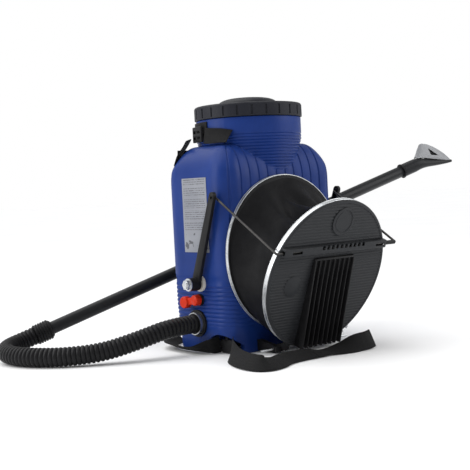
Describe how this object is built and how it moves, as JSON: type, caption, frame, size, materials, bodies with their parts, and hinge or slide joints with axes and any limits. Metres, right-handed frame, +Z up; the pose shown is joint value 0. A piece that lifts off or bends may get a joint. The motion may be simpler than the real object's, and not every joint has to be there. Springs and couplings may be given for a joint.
{
  "type": "knapsack bellows duster",
  "caption": "Manual knapsack bellows duster: blow-moulded hopper with screw cap, lever-pumped hinged bellows, corrugated hose, long lance with fan nozzle and webbing harness.",
  "frame": {"origin": "middle of the hopper base, on the floor", "axes": "+X to the wearer's right, +Y towards the wearer (harness side), +Z up; the bellows is on the -Y side"},
  "size_m": [1.2004, 0.6349, 0.5399],
  "materials": {
    "hopper_plastic": "satin blow-moulded polyethylene",
    "cap_plastic": "moulded black polypropylene, light texture",
    "black_plastic": "moulded black plastic",
    "board_plastic": "ribbed dark grey plastic",
    "bellows_cloth": "black leathercloth",
    "zinc_steel": "zinc-plated strip",
    "steel_wire": "drawn spring wire",
    "knob_plastic": "orange-red moulded plastic",
    "hose_plastic": "corrugated flexible plastic",
    "lance_plastic": "extruded black tube",
    "nozzle_clear": "pale grey plastic",
    "webbing": "woven polypropylene",
    "rubber": "matt",
    "label_film": "printed film",
    "bush_plastic": "natural acetal"
  },
  "bodies": {
    "hopper": {"tank": "hopper_plastic", "neck_thread": "hopper_plastic", "tank_label": "label_film", "bellows_back_plate": "black_plastic", "back_clamp_band": "zinc_steel", "back_band_screw": "zinc_steel", "plate_screws": "zinc_steel", "bellows_skin": "bellows_cloth", "hinge_brackets": "black_plastic", "hinge_rod": "zinc_steel", "outlet_flap_pin": "steel_wire", "shaft_bush_left": "bush_plastic", "shaft_bush_right": "bush_plastic", "air_duct": "black_plastic", "metering_seat": "bush_plastic", "knob_bush": "black_plastic", "hose_socket": "black_plastic", "hose_clamp": "zinc_steel", "hose": "hose_plastic", "hose_cuff": "hose_plastic", "lance": "lance_plastic", "lance_collar": "black_plastic", "shoulder_strap_left": "webbing", "shoulder_strap_right": "webbing", "neck_strap": "webbing", "strap_buckle": "black_plastic", "strap_tail_upper": "webbing", "strap_shoulder_left": "webbing", "strap_hooks": "black_plastic", "strap_lower_left": "webbing", "strap_floor": "webbing", "strap_floor_tail": "webbing"},
    "pump_crank": {"crank_shaft": "zinc_steel", "crank_arm_left": "black_plastic", "crank_arm_right": "black_plastic", "crank_washers": "zinc_steel", "crank_nuts": "zinc_steel", "pump_lever": "zinc_steel", "pump_grip": "rubber", "agitator": "black_plastic"},
    "bail": {"bail_wire": "steel_wire", "bail_sleeve": "black_plastic"},
    "board": {"bellows_board": "board_plastic", "board_clamp_band": "zinc_steel", "board_band_screw": "zinc_steel", "board_crossbar": "board_plastic", "intake_fins": "black_plastic", "board_hinge_lugs": "black_plastic", "intake_flap_pin": "steel_wire"},
    "intake_valve": {"intake_flap": "rubber"},
    "outlet_valve": {"outlet_flap": "rubber"},
    "dosing": {"dosing_knob": "knob_plastic", "metering_gate": "bush_plastic"},
    "cap_seal": {"cap_gasket": "rubber"},
    "cap": {"filler_cap": "cap_plastic"},
    "nozzle": {"nozzle_body": "lance_plastic", "nozzle_plate": "nozzle_clear"}
  },
  "joints": [
    {"name": "crank_swing", "type": "hinge", "parent": "hopper", "child": "pump_crank", "pos_m": [0, -0.007, 0.148], "axis": [1, 0, 0], "range_deg": [-21, 5]},
    {"name": "bail_swing", "type": "hinge", "parent": "pump_crank", "child": "bail", "pos_m": [0, -0.075, 0.329], "axis": [1, 0, 0], "range_deg": [-4.6, 18.5]},
    {"name": "board_hinge", "type": "hinge", "parent": "hopper", "child": "board", "pos_m": [0, -0.147, 0.01], "axis": [1, 0, 0], "range_deg": [-17.2, 4.2], "deforming": ["bellows_skin"]},
    {"name": "intake_valve_swing", "type": "hinge", "parent": "board", "child": "intake_valve", "pos_m": [0, -0.21152, 0.15019], "axis": [1, 0, 0], "range_deg": [0, 20]},
    {"name": "outlet_valve_swing", "type": "hinge", "parent": "hopper", "child": "outlet_valve", "pos_m": [0, -0.0944, 0.075], "axis": [1, 0, 0], "range_deg": [0, 30]},
    {"name": "dose_turn", "type": "hinge", "parent": "hopper", "child": "dosing", "pos_m": [-0.16, -0.002, 0.113], "axis": [1, 0, 0], "range_deg": [0, 60]},
    {"name": "cap_lift", "type": "slide", "parent": "hopper", "child": "cap_seal", "axis": [0, 0, 1], "range_m": [0, 0.0102]},
    {"name": "cap_turn", "type": "hinge", "parent": "cap_seal", "child": "cap", "pos_m": [0, 0, 0.5], "axis": [0, 0, 1], "range_deg": [0, 450]},
    {"name": "nozzle_turn", "type": "hinge", "parent": "hopper", "child": "nozzle", "pos_m": [0.557, 0.003, 0.379], "axis": [0.9093, -0.2694, 0.3171], "range_deg": [-180, 180]}
  ],
  "couplings": [
    {"joint": "board_hinge", "follows": "crank_swing", "ratio": 0.80989},
    {"joint": "bail_swing", "follows": "crank_swing", "ratio": -0.86957},
    {"joint": "cap_lift", "follows": "cap_turn", "m_per_rad": 0.0012732}
  ]
}
